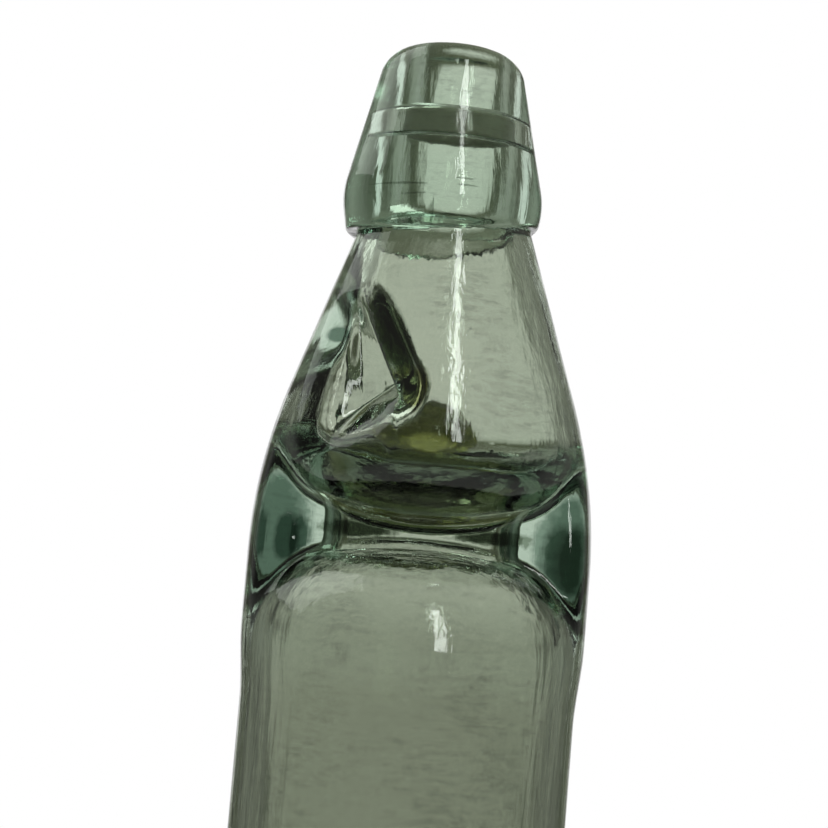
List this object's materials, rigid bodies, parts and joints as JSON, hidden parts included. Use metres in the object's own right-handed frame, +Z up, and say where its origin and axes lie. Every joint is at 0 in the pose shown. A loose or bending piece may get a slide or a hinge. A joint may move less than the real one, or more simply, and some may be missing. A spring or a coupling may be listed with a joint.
{
  "type": "marble stopper bottle",
  "caption": "Thick glass bottle whose neck is pinched to a throat under a marble chamber, closed by a captive glass marble pressed up against a rubber ring in the lip.",
  "frame": {"origin": "middle of the base, at the level that the bottle stands on", "axes": "+Z up along the bottle's axis, X across the pinched neck from web to web with the catching lugs at -X, -Y the side that the picture shows"},
  "size_m": [0.06, 0.06, 0.228],
  "materials": {
    "bottle_glass": "pale aqua glass, fire polished, with seeds and scuffs",
    "lip_glass": "pale aqua glass, tooled by hand",
    "ring_rubber": "aged grey rubber, matt",
    "marble_glass": "olive green glass, smooth"
  },
  "bodies": {
    "bottle": {"glass_bottle": "bottle_glass", "applied_lip": "lip_glass", "sealing_ring": "ring_rubber"},
    "marble": {"marble": "marble_glass"}
  },
  "joints": [
    {"name": "marble_rise", "type": "slide", "parent": "bottle", "child": "marble", "axis": [0, 0, 1], "range_m": [0, 0.0488]}
  ]
}
